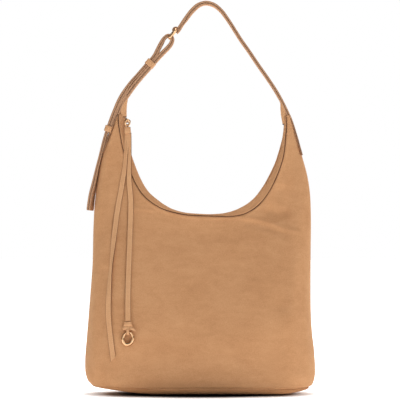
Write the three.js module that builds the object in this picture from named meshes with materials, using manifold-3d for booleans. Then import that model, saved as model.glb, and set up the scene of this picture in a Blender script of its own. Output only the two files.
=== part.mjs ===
// Hobo bag: a soft suede bag with a scooped, zipped mouth and one buckled shoulder strap.
// Units are millimetres, +Z is up, the front faces -Y, and the origin is under the middle of the base.
import * as THREE from "three";
import { mergeVertices } from "three/addons/utils/BufferGeometryUtils.js";
import Module from "manifold-3d";

const wasm = await Module();
wasm.setup();

// ---------------------------------------------------------------- driving dimensions
const GAP = 0.3; // between pieces that touch
const SUEDE = 1.8;
const LINING = 0.8;
const BASE_TOP = 8; // top of the turned-up rim of the base
const BASE_HALF_DEPTH = 56;
const MOUTH_HALF_DEPTH = 11;
const FOOT_TUCK = 6; // how far the walls draw in at the foot
const FOOT_HEIGHT = 30;
const MOUTH = { x: 8.7, z: 377.7, radius: 114.5 }; // the circle that the zip follows
const MOUTH_ENDS = { left: 11.7, right: 10 }; // degrees above level where the mouth's edges end
const SEAM_DROP = 7; // from the zip ridge out to the seam of the front panel
const STRAP_WIDTH = 20;
const STRAP_THICK = 4.4;
const TAB_THICK = 2.2;
const FOLD_HEIGHT = 421; // axis about which the strap folds down
const BUCKLE_WIRE = 1.5; // radius
const KEEPER_WALL = 1.8;
const LACE_WIDTH = 8;
const LACE_THICK = 1.6;

// Side seams, from the foot to the top of each horn, as seen from the front.
const LEFT_SEAM = [
  [-147, 8.3], [-158, 15], [-164.5, 28], [-165.3, 50], [-163.9, 79], [-159.5, 137],
  [-155.8, 190], [-153.7, 238], [-151, 275], [-146.5, 314], [-139.9, 347], [-130, 373], [-118, 407],
];
const RIGHT_SEAM = [
  [150, 8.3], [160, 15], [164.6, 28], [164.4, 60], [161, 86], [158.8, 120],
  [158.8, 200], [159.5, 255], [158, 290], [154, 316], [147.5, 342], [139.8, 372], [131.4, 403.5],
];

// ---------------------------------------------------------------- materials
const paint = (color, roughness, metalness = 0) =>
  new THREE.MeshStandardMaterial({ color, roughness, metalness });
const suede = paint(0xc4925f, 0.95);
const edgedLeather = paint(0xb17c4b, 0.8);
const cotton = paint(0xb89a78, 0.9);
const zipCloth = paint(0x9a7248, 0.9);
const gold = paint(0xd8b27a, 0.3, 1);
const board = paint(0x8a8074, 0.9);

// ---------------------------------------------------------------- geometry helpers
const group = new THREE.Group();
const smooth = (from, to, value) => THREE.MathUtils.smoothstep(value, from, to);
const lerp = THREE.MathUtils.lerp;
const vec = (x, y, z) => new THREE.Vector3(x, y, z);

function add(name, geometry, material) {
  const mesh = new THREE.Mesh(geometry, material);
  mesh.name = name;
  group.add(mesh);
  return mesh;
}

function solid(geometry) {
  const bare = new THREE.BufferGeometry();
  bare.setAttribute("position", geometry.getAttribute("position"));
  bare.setIndex(geometry.index);
  const merged = mergeVertices(bare, 1e-3);
  return new wasm.Manifold(
    new wasm.Mesh({
      numProp: 3,
      vertProperties: merged.attributes.position.array,
      triVerts: new Uint32Array(merged.index.array),
    }),
  );
}

function surfaceOf(made) {
  const mesh = made.getMesh();
  const geometry = new THREE.BufferGeometry();
  geometry.setAttribute("position", new THREE.BufferAttribute(mesh.vertProperties, 3));
  geometry.setIndex(new THREE.BufferAttribute(mesh.triVerts, 1));
  return geometry;
}

// A closed solid from a row of cross-sections: sections[i][j] is corner j of section i. Each section
// goes along one side and back along the other, so corner j faces corner -1 - j across its end cap.
function loft(sections) {
  const corners = sections[0].length;
  const last = (sections.length - 1) * corners;
  const triangles = [];
  for (let i = 0; i < sections.length - 1; i++) {
    for (let j = 0; j < corners; j++) {
      const a = i * corners + j;
      const b = i * corners + ((j + 1) % corners);
      triangles.push(a, a + corners, b, b, a + corners, b + corners);
    }
  }
  for (let j = 0; j < corners / 2 - 1; j++) {
    const k = corners - 1 - j;
    triangles.push(j, j + 1, k, j + 1, k - 1, k);
    triangles.push(last + j, last + k, last + j + 1, last + j + 1, last + k, last + k - 1);
  }
  const geometry = new THREE.BufferGeometry();
  const points = sections.flat();
  geometry.setAttribute(
    "position",
    new THREE.Float32BufferAttribute(points.flatMap((p) => [p.x, p.y, p.z]), 3),
  );
  geometry.setIndex(triangles);
  if (solid(geometry).volume() < 0) {
    for (let i = 0; i < triangles.length; i += 3) {
      [triangles[i], triangles[i + 1]] = [triangles[i + 1], triangles[i]];
    }
    geometry.setIndex(triangles);
  }
  return geometry;
}

// A sheet of even thickness: each section is a strip of the outer points and back along the inner ones.
function sheet(outer, inner) {
  return loft(outer.map((row, i) => [...row, ...inner[i].slice().reverse()]));
}

// Smooth line through the points [x, z] of the XZ plane, as evenly spaced THREE.Vector3.
function route(points, steps) {
  const curve = new THREE.CatmullRomCurve3(
    points.map(([x, z]) => vec(x, 0, z)),
    false,
    "centripetal",
  );
  return curve.getSpacedPoints(steps);
}

// The unit normal to a route in the XZ plane, to the left of its direction.
function sideOf(line, i) {
  const before = line[Math.max(i - 1, 0)];
  const after = line[Math.min(i + 1, line.length - 1)];
  const along = after.clone().sub(before).normalize();
  return vec(-along.z, 0, along.x);
}

// A flat strap that is seen edge-on from the front: it follows a line in XZ and is wide along Y.
function strap(line, thickness, width = STRAP_WIDTH, shift = 0) {
  const sections = line.map((point, i) => {
    const side = sideOf(line, i);
    return [
      [-width / 2, -thickness / 2],
      [width / 2, -thickness / 2],
      [width / 2, thickness / 2],
      [-width / 2, thickness / 2],
    ].map(([y, offset]) => point.clone().addScaledVector(side, offset + shift).setY(y));
  });
  return loft(sections);
}

const block = (x, y, z, at) => new THREE.BoxGeometry(x, y, z).translate(at.x, at.y, at.z);
const rod = (radius, length, at, sides = 16) =>
  new THREE.CylinderGeometry(radius, radius, length, sides).translate(at.x, at.y, at.z);
const rodAcross = (radius, length, at, sides = 16) =>
  new THREE.CylinderGeometry(radius, radius, length, sides).rotateZ(Math.PI / 2)
    .translate(at.x, at.y, at.z);

// ---------------------------------------------------------------- shape of the body
const leftLine = route(LEFT_SEAM, 120);
const rightLine = route(RIGHT_SEAM, 120);

function seamX(line, z) {
  const next = line.findIndex((point) => point.z >= z);
  if (next <= 0) return next === 0 ? line[0].x : line.at(-1).x;
  const share = (z - line[next - 1].z) / (line[next].z - line[next - 1].z);
  return lerp(line[next - 1].x, line[next].x, share);
}

// Half the depth of the bag at a place seen from the front.
function halfDepth(x, z) {
  const below = Math.hypot(x - MOUTH.x, z - MOUTH.z) - MOUTH.radius;
  const belly = smooth(10, 195, below);
  const tuck = Math.max(0, (FOOT_HEIGHT - z) / FOOT_HEIGHT);
  const full = lerp(MOUTH_HALF_DEPTH, BASE_HALF_DEPTH, belly) - FOOT_TUCK * tuck * tuck;
  const fromSeam = Math.max(0, Math.min(x - seamX(leftLine, z), seamX(rightLine, z) - x));
  const round = 3 + 45 * smooth(0, 260, 405 - z);
  const part = 1 - Math.min(1, fromSeam / round);
  return full * Math.sqrt(1 - part * part) + GAP / 2;
}

const arcPoint = (angle, offset) =>
  vec(
    MOUTH.x + (MOUTH.radius + offset) * Math.cos(angle),
    0,
    MOUTH.z + (MOUTH.radius + offset) * Math.sin(angle),
  );
const ARC_START = THREE.MathUtils.degToRad(180 - MOUTH_ENDS.left);
const ARC_END = THREE.MathUtils.degToRad(360 + MOUTH_ENDS.right);
const HORN = 0.015; // share of the top edge that is the tip of a horn

// Top edge of a panel: the tip of one horn, round the mouth, and the tip of the other.
function topEdge(u) {
  if (u < HORN) return leftLine.at(-1).clone().lerp(arcPoint(ARC_START, SEAM_DROP), u / HORN);
  if (u > 1 - HORN) {
    return arcPoint(ARC_END, SEAM_DROP).lerp(rightLine.at(-1), (u - 1 + HORN) / HORN);
  }
  return arcPoint(lerp(ARC_START, ARC_END, (u - HORN) / (1 - 2 * HORN)), SEAM_DROP);
}

function alongLine(line, v) {
  const place = v * (line.length - 1);
  const index = Math.min(Math.floor(place), line.length - 2);
  return line[index].clone().lerp(line[index + 1], place - index);
}

// A point of the front panel: a patch spanned between the foot, the side seams and the top edge.
function frontPoint(u, v) {
  const foot = leftLine[0].clone().lerp(rightLine[0], u);
  const across = alongLine(leftLine, v).lerp(alongLine(rightLine, v), u);
  const upward = foot.clone().lerp(topEdge(u), v);
  const flat = foot.clone().lerp(leftLine.at(-1).clone().lerp(rightLine.at(-1), u), v);
  const point = across.add(upward).sub(flat);
  return point.setY(-halfDepth(point.x, point.z));
}

function inwards(u, v) {
  const step = 0.0015;
  const at = (a, b) => frontPoint(THREE.MathUtils.clamp(a, 0, 1), THREE.MathUtils.clamp(b, 0, 1));
  const across = at(u + step, v).sub(at(u - step, v));
  const up = at(u, v + step).sub(at(u, v - step));
  return up.cross(across).normalize();
}

const spread = (from, to, count) =>
  Array.from({ length: count + 1 }, (_, i) => lerp(from, to, i / count));

// Columns are closer near the side seams, where the wall turns, and one falls on each horn's corner.
const COLUMNS = 28;
const columns = [0];
for (let i = 1; i < COLUMNS; i++) {
  const share = (i - 1) / (COLUMNS - 2);
  const eased = 0.5 - 0.5 * Math.cos(Math.PI * share);
  columns.push(HORN + (1 - 2 * HORN) * lerp(share, eased, 0.45));
}
columns.push(1);

// Rows are closer at the foot, where the wall draws in.
const wallRows = [0, 0.015, 0.03, 0.055, ...spread(0.1, 1, 11)];

// One wall of the bag between two depths below its outer face; side -1 is the front, +1 the back.
function wall(side, from, to, rows, us = columns) {
  const layer = (depth) =>
    rows.map((v) =>
      us.map((u) => {
        const point = frontPoint(u, v).addScaledVector(inwards(u, v), depth);
        return point.setY(-side * Math.min(point.y, -GAP / 2));
      }),
    );
  return sheet(layer(from), layer(to));
}

// ---------------------------------------------------------------- body and lining
function body() {
  for (const [side, name] of [[-1, "front"], [1, "back"]]) {
    add(`${name}_panel`, wall(side, 0, SUEDE, wallRows), suede);
    add(`lining_${name}`, wall(side, 3.4, 3.4 + LINING, [...wallRows.slice(0, -1), 0.96]), cotton);
  }
  add("slip_pocket", wall(1, 4.9, 5.7, wallRows.slice(7, 11), columns.slice(9, 20)), cotton);
}

// Outline of the foot in plan at a height, drawn in by a margin.
function footOutline(margin, z) {
  const front = columns.map((u) => frontPoint(u, 0));
  const ring = [...front, ...front.slice(1, -1).reverse().map((p) => p.clone().setY(-p.y))];
  return ring.map((p, i) => {
    const before = ring.at(i - 1);
    const after = ring[(i + 1) % ring.length];
    const along = after.clone().sub(before).normalize();
    const inward = vec(-along.y, along.x, 0);
    return p.clone().addScaledVector(inward, margin).setZ(z);
  });
}

function base() {
  const tray = loft([
    footOutline(7, 0),
    footOutline(2.2, 1.8),
    footOutline(0.4, 4.6),
    footOutline(0, BASE_TOP),
  ]);
  const hollow = loft([footOutline(8, 2), footOutline(2.4, BASE_TOP + 1)]);
  add("base_panel", surfaceOf(solid(tray).subtract(solid(hollow))), suede);
  add("base_board", loft([footOutline(9, 2.3), footOutline(7.6, 4.8)]), board);
  add("lining_base", loft([footOutline(7.2, 5.1), footOutline(6.6, 5.9)]), cotton);
}

// ---------------------------------------------------------------- zipped mouth
const alongMouth = (u) => lerp(ARC_START, ARC_END, (u - HORN) / (1 - 2 * HORN));
const arcAngles = columns.slice(1, -1).map(alongMouth);
const CHAIN_START = THREE.MathUtils.degToRad(169.4);
const CHAIN_END = THREE.MathUtils.degToRad(366.8);

// A strip that follows the mouth; corners(angle) lists [distance below the ridge, y].
function mouthStrip(angles, corners) {
  return loft(angles.map((a) => corners(a).map(([drop, y]) => arcPoint(a, drop).setY(y))));
}

// Sections of the zip: depth below the ridge, and reach from the middle line to one side.
const TAPE = { depth: [6.7, 7.3], reach: [0.4, 6.6] };
const TEETH = { depth: [4.6, 6.3], reach: [0.2, 2.7] };

function flatStrip({ depth, reach }, side) {
  const [near, far] = reach.map((y) => side * y);
  return [[depth[0], near], [depth[0], far], [depth[1], far], [depth[1], near]];
}

function mouth() {
  const chainAngles = spread(CHAIN_START, CHAIN_END, 26);
  for (const [side, name] of [[-1, "front"], [1, "back"]]) {
    const facing = mouthStrip(arcAngles, (angle) => {
      const seam = arcPoint(angle, SEAM_DROP);
      const outside = halfDepth(seam.x, seam.z);
      return [
        [SEAM_DROP - GAP, side * outside],
        [0.6, side * 6.4],
        [1.8, side * 5.1],
        [SEAM_DROP - GAP, side * (outside - 2.2)],
      ];
    });
    add(`zip_facing_${name}`, facing, suede);
    add(`zip_tape_${name}`, mouthStrip(chainAngles, () => flatStrip(TAPE, side)), zipCloth);
    add(`zip_teeth_${name}`, mouthStrip(chainAngles, () => flatStrip(TEETH, side)), gold);
  }
  const stopAt = { zip_stop_closed: [168.3, 169], zip_stop_open: [367.2, 368.3] };
  for (const [name, ends] of Object.entries(stopAt)) {
    const angles = ends.map(THREE.MathUtils.degToRad);
    add(name, mouthStrip(angles, () => [[4.2, -3], [4.2, 3], [6.4, 3], [6.4, -3]]), gold);
  }
}

// ---------------------------------------------------------------- zip slider and its pull
const SLIDER_ANGLE = THREE.MathUtils.degToRad(171.5);
const PIN_RADIUS = 0.8;
const pin = arcPoint(SLIDER_ANGLE, -1.6); // axis on which the pull turns
const RING_FRONT = -14.2; // y of the pull's ring, in front of the facing and the wall below it

function slider() {
  const reach = THREE.MathUtils.degToRad(2.2);
  const angles = spread(SLIDER_ANGLE - reach, SLIDER_ANGLE + reach, 4);
  const plate = mouthStrip(angles, () => [
    [5.8, -4.2], [1.9, -4.2], [1.9, 4.2], [5.8, 4.2], [5.8, 3.1], [3.6, 3.1], [3.6, -3.1], [5.8, -3.1],
  ]);
  const stemAngles = [SLIDER_ANGLE - 0.02, SLIDER_ANGLE + 0.02];
  const stem = mouthStrip(stemAngles, () => [[-1, -0.9], [-1, 0.9], [2.6, 0.9], [2.6, -0.9]]);
  const eye = solid(rod(2.6, 1.8, pin)).add(solid(stem)).add(solid(plate));
  add("zip_slider", surfaceOf(eye.subtract(solid(rod(1.4, 4, pin)))), gold);
}

// The pull's pin turns in the slider's eye, and a small ring is fixed to its front end.
const RING = { half: 3.3, tall: 4.4, wire: 0.95 };
const ringCentre = vec(pin.x - 1.9, RING_FRONT, pin.z - 2.1);
const swingAxis = vec(ringCentre.x, RING_FRONT, ringCentre.z - RING.tall);

function ovalRing(half, tall, wire, centre, around = 24, across = 10) {
  const ring = new THREE.TorusGeometry(1, 0.1, across, around);
  const place = ring.getAttribute("position");
  for (let i = 0; i < place.count; i++) {
    const angle = Math.atan2(place.getY(i), place.getX(i));
    const radial = (Math.hypot(place.getX(i), place.getY(i)) - 1) * 10 * wire;
    const depth = place.getZ(i) * 10 * wire;
    const outward = vec(Math.cos(angle) / half, 0, Math.sin(angle) / tall).normalize();
    const at = vec(half * Math.cos(angle), -depth, tall * Math.sin(angle));
    at.addScaledVector(outward, radial).add(centre);
    place.setXYZ(i, at.x, at.y, at.z);
  }
  return ring;
}

const SHAFT_BACK = 3.2;

function pullRing() {
  const middle = pin.clone().setY((SHAFT_BACK + RING_FRONT) / 2);
  const shaft = rod(PIN_RADIUS, SHAFT_BACK - RING_FRONT, middle, 12);
  const head = rod(1.6, 1.8, pin.clone().setY(SHAFT_BACK - 0.7), 12);
  const ring = ovalRing(RING.half, RING.tall, RING.wire, ringCentre);
  const joined = solid(ring).add(solid(shaft)).add(solid(head));
  add("zip_pull_ring", surfaceOf(joined), gold);
}

// ---------------------------------------------------------------- hanging laces of the pull
// Each lace is a flat strip that lies on the front of the bag: [x, z, clearance from the front].
const LONG_LACE = [
  [-105.2, 377.4, 2.6], [-106, 354, 2.2], [-109, 325, 2.2], [-113.8, 296, 2.2], [-118.9, 267, 2.2],
  [-122.5, 238, 2.6], [-126, 202, 2.8], [-129, 166, 3], [-131, 137, 3], [-131, 111, 3],
  [-128.6, 86, 2.8], [-123.9, 48, 2.6],
];
const SHORT_LACE = [
  [-103, 377.4, 4.9], [-101.5, 340, 5], [-101.8, 312, 5], [-99.8, 278, 3.6], [-100.4, 250, 2.8],
  [-101.4, 215, 2.8], [-102.6, 175, 2.8], [-103.2, 135, 3.4], [-103, 105.5, 5.2],
];
const laceCurve = (stops) =>
  new THREE.CatmullRomCurve3(
    stops.map(([x, z, clear]) => vec(x, -halfDepth(x, z) - clear, z)),
    false,
    "centripetal",
  );

function lace(name, stops, steps) {
  const line = laceCurve(stops).getSpacedPoints(steps);
  const sections = line.map((point, i) => {
    const along = line[Math.min(i + 1, steps)].clone().sub(line[Math.max(i - 1, 0)]).normalize();
    const out = vec(0, -1, 0).addScaledVector(along, along.y).normalize();
    const across = along.clone().cross(out);
    across.multiplyScalar(LACE_WIDTH / 2);
    out.multiplyScalar(LACE_THICK / 2);
    return [[-1, -1], [1, -1], [1, 1], [-1, 1]].map(([a, b]) =>
      point.clone().addScaledVector(across, a).addScaledVector(out, b),
    );
  });
  add(name, loft(sections), suede);
}

const END_RING = { half: 7.3, tall: 9.6, wire: 2 };
const endPin = vec(-103, -61.4, 91.2); // where the end ring hangs

// The leather that gathers the top of both laces, with a bight round the foot of the pull's ring.
function collar() {
  const sleeve = block(7.6, 5.4, 8, vec(-104, RING_FRONT - 1.6, swingAxis.z - 5.9));
  const bight = rodAcross(2.5, 2.6, swingAxis);
  const bore = rodAcross(1.6, 9, swingAxis);
  const made = solid(sleeve).add(solid(bight)).subtract(solid(bore));
  add("pull_collar", surfaceOf(made), edgedLeather);
}

// The leather folded round the foot of the short lace, with a loop that holds the end ring.
function endWrap() {
  const edge = (up, half, deep) =>
    [[-1, 1], [1, 1], [1, -1], [-1, -1]].map(([a, b]) =>
      endPin.clone().add(vec(a * half, b * deep, up)),
    );
  const wrap = loft([edge(13.7, 5, 2.3), edge(3, 7, 2.9)]);
  const loop = rodAcross(4.4, 5, endPin);
  const passage = rodAcross(2.9, 20, endPin);
  const made = solid(wrap).add(solid(loop)).subtract(solid(passage));
  add("pull_end_wrap", surfaceOf(made), edgedLeather);
}

function endRing() {
  const centre = endPin.clone().sub(vec(0, 0, END_RING.tall));
  add("pull_end_ring", ovalRing(END_RING.half, END_RING.tall, END_RING.wire, centre, 28, 10), gold);
}

function pull() {
  collar();
  lace("pull_lace_long", LONG_LACE, 40);
  lace("pull_lace_short", SHORT_LACE, 34);
  endWrap();
  endRing();
}

// ---------------------------------------------------------------- shoulder strap
const barUpper = vec(-34.8, 0, 527);
const barLower = vec(-43.5, 0, 516);
const EYE = BUCKLE_WIRE + 0.4;

// A strap end that folds about the axis through the horns: below the axis it is a half disc.
function roundedEnd(made) {
  const above = block(400, 60, 300, vec(0, 0, FOLD_HEIGHT + 150));
  const disc = rodAcross(STRAP_WIDTH / 2, 400, vec(0, 0, FOLD_HEIGHT), 32);
  return made.intersect(solid(above).add(solid(disc)));
}

const UPPER_STRAP = [
  [125.6, 406], [119.4, 424], [110, 439.5], [99.3, 456], [86, 474.5], [71.1, 496.6], [59.5, 513],
  [48.6, 530.4], [40.4, 543], [31.5, 554.6], [20.5, 563], [8.7, 566.2], [-3, 563.4], [-14.2, 554.8],
  [-23, 544], [-33, 529.4],
];
const LOWER_STRAP = [
  [-113.5, 406], [-108.8, 424], [-103, 435.7], [-95.2, 446.6], [-85.6, 458.3], [-73.8, 471.7],
  [-62, 485.2], [-53, 494.8], [-46.2, 502], [-41, 508.4], [-39, 515.4], [-41.6, 521], [-47, 522.6],
  [-52.2, 518.4], [-57.4, 509], [-61.4, 499.6], [-66.1, 488.8], [-77.9, 475.3], [-89.7, 461.8],
  [-99, 452], [-107.6, 442.2], [-115, 432.4], [-120.8, 422.2], [-125.8, 410],
];
const TAIL = [
  [-125.8, 410.6], [-129.6, 399.5], [-133.4, 388], [-137, 377], [-141.4, 363], [-145.6, 347],
  [-150.4, 328], [-155, 305], [-158.8, 287], [-161.2, 266.5],
];

function shoulderStrap() {
  const eyeAtBar = (bar, radius) => solid(rod(radius, STRAP_WIDTH, bar, 28));
  const bore = (bar) => solid(rod(EYE, STRAP_WIDTH + 4, bar, 28));
  const slot = solid(block(16, 5.6, 14, vec(barUpper.x - 4.4, 0, barUpper.z - 2.4)));
  const upper = solid(strap(route(UPPER_STRAP, 46), STRAP_THICK)).add(eyeAtBar(barUpper, EYE + 2.6));
  add("strap_upper", surfaceOf(roundedEnd(upper.subtract(bore(barUpper)).subtract(slot))), suede);

  const hole = solid(block(12, 4.6, 8, vec(-40.4, 0, 521.4)));
  const lower = solid(strap(route(LOWER_STRAP, 86), STRAP_THICK)).subtract(hole);
  add("strap_lower", surfaceOf(roundedEnd(lower)), suede);
  const tail = solid(strap(route(TAIL, 22), STRAP_THICK));
  const below = solid(block(200, 60, 300, vec(-140, 0, FOLD_HEIGHT - STRAP_WIDTH / 2 - GAP - 150)));
  add("strap_tail", surfaceOf(tail.intersect(below)), suede);
}

function buckle() {
  const railY = STRAP_WIDTH / 2 + 3;
  const along = barLower.clone().sub(barUpper);
  const tilt = Math.atan2(along.x, along.z);
  const middle = barUpper.clone().lerp(barLower, 0.5);
  let frame = solid(rod(BUCKLE_WIRE, 2 * railY, barUpper));
  frame = frame.add(solid(rod(BUCKLE_WIRE, 2 * railY, barLower)));
  for (const y of [-railY, railY]) {
    const rail = new THREE.CylinderGeometry(BUCKLE_WIRE, BUCKLE_WIRE, along.length(), 16);
    rail.rotateX(Math.PI / 2).rotateY(tilt).translate(middle.x, y, middle.z);
    frame = frame.add(solid(rail));
    for (const bar of [barUpper, barLower]) {
      const knuckle = new THREE.SphereGeometry(BUCKLE_WIRE, 16, 8).translate(bar.x, y, bar.z);
      frame = frame.add(solid(knuckle));
    }
  }
  add("buckle_frame", surfaceOf(frame), gold);

  // The prong turns on the upper bar and rests on the lower one, through the strap's hole.
  const side = vec(along.z, 0, -along.x).normalize();
  const from = barUpper.clone().addScaledVector(side, 1.6);
  const to = barLower.clone().addScaledVector(side, 2.9).addScaledVector(along.clone().normalize(), 2);
  const span = to.clone().sub(from);
  const shank = new THREE.CylinderGeometry(1.1, 1.1, span.length(), 14);
  shank.rotateX(Math.PI / 2).rotateY(Math.atan2(span.x, span.z));
  shank.translate((from.x + to.x) / 2, 0, (from.z + to.z) / 2);
  const eye = solid(rod(3.2, 3.6, barUpper)).add(solid(shank));
  add("buckle_prong", surfaceOf(eye.subtract(solid(rod(1.8, 6, barUpper)))), gold);
}

// A leather band around the strap; open sides are left where inner is shifted past the wall.
function keeper(name, centre, tilt, size, innerSize, innerShift = 0) {
  const outer = solid(new THREE.BoxGeometry(size.thick, size.wide, size.long));
  const inner = solid(block(innerSize.thick, innerSize.wide, size.long + 4, vec(innerShift, 0, 0)));
  const geometry = surfaceOf(outer.subtract(inner));
  geometry.rotateY(tilt).translate(centre.x, centre.y, centre.z);
  add(name, geometry, edgedLeather);
}

function keepers() {
  const wide = STRAP_WIDTH + 0.8;
  const stack = 2 * STRAP_THICK + 1.1 + 0.8; // both layers of the doubled strap
  const upperTilt = Math.atan2(23.6, 27); // lies along the doubled strap
  keeper(
    "keeper_upper", vec(-71.9, 0, 478.5), upperTilt,
    { thick: stack + 2 * KEEPER_WALL, wide: wide + 2 * KEEPER_WALL, long: 9 },
    { thick: stack, wide },
  );
  keeper(
    "keeper_lower", vec(-133, 0, 384.6), Math.atan2(3.6, 11),
    { thick: 11.6, wide: wide + 2 * KEEPER_WALL, long: 9 },
    { thick: 11.6, wide },
    KEEPER_WALL,
  );
}

// Leather layers that hold the strap to each horn: one outside on the side seam, one inside the mouth.
function anchors() {
  const top = FOLD_HEIGHT - STRAP_WIDTH / 2 - GAP;
  const low = 350;
  const below = solid(block(400, 60, 300, vec(0, 0, top - 150)));
  const lift = TAB_THICK / 2 + GAP + 0.1;
  for (const [name, line, sign, end] of [
    ["left", leftLine, 1, vec(-116.6, 0, top + 1)],
    ["right", rightLine, -1, vec(128.4, 0, top + 1)],
  ]) {
    const along = [...line.filter((p) => p.z > low).filter((_, i) => i % 3 === 0), line.at(-1), end];
    const clean = along.filter((p, i) => i === 0 || p.distanceTo(along[i - 1]) > 1.5);
    const outer = strap(clean, TAB_THICK, STRAP_WIDTH, sign * lift);
    add(`anchor_${name}_outer`, surfaceOf(solid(outer).intersect(below)), suede);
  }
  add("anchor_left_inner", strap([vec(-109.4, 0, 403.2), vec(-109.6, 0, top)], TAB_THICK), suede);
  add("anchor_right_inner", strap([vec(120.4, 0, 393), vec(119.9, 0, top)], TAB_THICK), suede);
}

body();
base();
mouth();
slider();
pullRing();
pull();
shoulderStrap();
buckle();
keepers();
anchors();

export default group;
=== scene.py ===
"""Hobo bag: a soft suede bag with a scooped, zipped mouth, a buckled strap and a lace zip pull.

Numbers are millimetres in the frame of the CAD model (+Z up, front to -Y) until Shape scales them.
"""

import math

import bmesh
import bpy
import numpy as np
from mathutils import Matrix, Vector


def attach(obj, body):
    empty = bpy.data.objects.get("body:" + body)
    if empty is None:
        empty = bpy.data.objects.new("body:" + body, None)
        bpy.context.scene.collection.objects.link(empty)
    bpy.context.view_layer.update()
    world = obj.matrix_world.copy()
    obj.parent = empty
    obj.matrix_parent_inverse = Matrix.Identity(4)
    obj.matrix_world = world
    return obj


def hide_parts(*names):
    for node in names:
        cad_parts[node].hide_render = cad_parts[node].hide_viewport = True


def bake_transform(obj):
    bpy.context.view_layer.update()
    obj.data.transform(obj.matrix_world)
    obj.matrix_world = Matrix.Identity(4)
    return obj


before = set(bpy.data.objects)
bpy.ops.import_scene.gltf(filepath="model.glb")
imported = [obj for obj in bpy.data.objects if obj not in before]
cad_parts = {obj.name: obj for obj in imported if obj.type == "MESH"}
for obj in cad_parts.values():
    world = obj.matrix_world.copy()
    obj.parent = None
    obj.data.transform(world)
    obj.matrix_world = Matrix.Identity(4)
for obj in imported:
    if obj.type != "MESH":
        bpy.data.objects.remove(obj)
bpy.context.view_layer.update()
MM = 0.001

# ---- camera
CAMERA_SPOT = (0.5, -4000.0, 279.9)  # a level view along +Y from far away
SENSOR_WIDTH = 36.0
LENS = 247.0
CLIP_END_M = 50.0


def put_in_scene(name, data):
    made = bpy.data.objects.new(name, data)
    bpy.context.scene.collection.objects.link(made)
    return made


def camera():
    data = bpy.data.cameras.new("camera")
    data.sensor_width = SENSOR_WIDTH
    data.lens = LENS
    data.clip_end = CLIP_END_M
    made = put_in_scene("camera", data)
    made.location = [value * MM for value in CAMERA_SPOT]
    made.rotation_euler = (math.pi / 2, 0, 0)
    bpy.context.scene.camera = made


camera()

# ---- driving dimensions
SIDES = ((-1, "front"), (1, "back"))  # the sign of y, and the name
MOUTH = (8.7, 377.7)  # centre of the circle on which the slider runs
MOUTH_RADIUS = 114.5
MOUTH_HALF_DEPTH = 11.0
BASE_HALF_DEPTH = 56.0
FOOT_TUCK = 6.0
FOOT_HEIGHT = 30.0
SOLE_TOP = 6.6
LEATHER = 1.5
LINING_DEPTHS = (3.4, 4.0)  # of the lining's two faces behind the outer face of the wall
FACING_THICK = 1.2
ZIP_ARC = (169.4, 366.8)  # degrees about the mouth's centre
ZIP_STOPS = [("closed", 168.4, 169.1), ("open", 367.2, 368.2)]
TOOTH_PITCH = 2.7
STRAP_WIDTH = 20.0
LACE_WIDTH = 8.0
LACE_THICK = 1.6
FLOOR_DROP = 2.6  # the soft base bows upwards, so its edge is a little clear of the floor

# The side seams from the foot to the horns, as (x, z).
LEFT_SEAM = [
    (-156.5, 11.4), (-162.6, 17), (-166.4, 29), (-166.8, 50), (-164.5, 79), (-159.7, 137), (-156, 190),
    (-154.9, 238), (-152.9, 275), (-147.9, 314), (-141.4, 347), (-131.4, 373), (-118.6, 407),
]
RIGHT_SEAM = [
    (159, 7.8), (165, 13.6), (168, 25), (166.9, 60), (163.9, 86), (161.9, 120), (161.8, 200),
    (162.2, 255), (160.8, 290), (156.8, 316), (149.8, 342), (141, 372), (132, 403.5),
]
# The ridge of the mouth's facing: it sags a little from the circle along its lower corners.
RIDGE = [
    (-108.6, 404), (-108, 390), (-105.2, 371), (-100.8, 350), (-94.6, 331), (-86, 310), (-75.5, 293),
    (-61, 280), (-44, 269.6), (-24, 263.6), (-2, 261.2), (21, 261), (42, 263.6), (60, 270.6),
    (77, 282.6), (90, 299), (101, 318.5), (110, 338.5), (115.6, 357), (119.4, 373), (121.3, 388),
    (120.8, 401),
]
# Angle about the mouth's centre, and how far the panel's seam lies outside the ridge there.
SEAM_DROPS = [
    (160, 10), (172, 9.8), (182, 9.3), (200, 8.8), (216, 9), (230, 8.2), (238, 7.2), (247, 5),
    (258, 4.2), (272, 4), (280, 5.2), (288, 8.4), (297, 12), (310, 13), (322, 12.4), (336, 10.4),
    (347, 8.4), (357, 5.6), (368, 4.6), (380, 4.6),
]


# ---- curves
def spline(points, count):
    """A centripetal Catmull-Rom curve through the points, as count evenly spaced points."""
    p = np.array(points, float)
    p = np.vstack([2 * p[0] - p[1], p, 2 * p[-1] - p[-2]])
    steps = np.sqrt(np.linalg.norm(np.diff(p, axis=0), axis=1))
    dense = []
    for i in range(1, len(p) - 2):
        d0, d1, d2 = steps[i - 1 : i + 2]
        t = np.linspace(0, 1, 40, endpoint=False)[:, None]
        out = (p[i] - p[i - 1]) / d0 - (p[i + 1] - p[i - 1]) / (d0 + d1) + (p[i + 1] - p[i]) / d1
        into = (p[i + 1] - p[i]) / d1 - (p[i + 2] - p[i]) / (d1 + d2) + (p[i + 2] - p[i + 1]) / d2
        out, into = out * d1, into * d1
        ease = 3 * t**2 - 2 * t**3
        bend = (t**3 - 2 * t**2 + t) * out + (t**3 - t**2) * into
        dense.append((1 - ease) * p[i] + ease * p[i + 1] + bend)
    dense = np.vstack([*dense, p[-2]])
    return resample(dense, count)


def travelled(line):
    """How far along the line each of its points lies."""
    return np.concatenate([[0], np.cumsum(np.linalg.norm(np.diff(line, axis=0), axis=1))])


def resample(line, count):
    run = travelled(line)
    at = np.linspace(0, run[-1], count)
    return np.stack([np.interp(at, run, line[:, k]) for k in range(line.shape[1])], axis=1)


def length(line):
    return float(np.linalg.norm(np.diff(line, axis=0), axis=1).sum())


def smoothstep(low, high, value):
    t = np.clip((value - low) / (high - low), 0, 1)
    return t * t * (3 - 2 * t)


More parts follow.
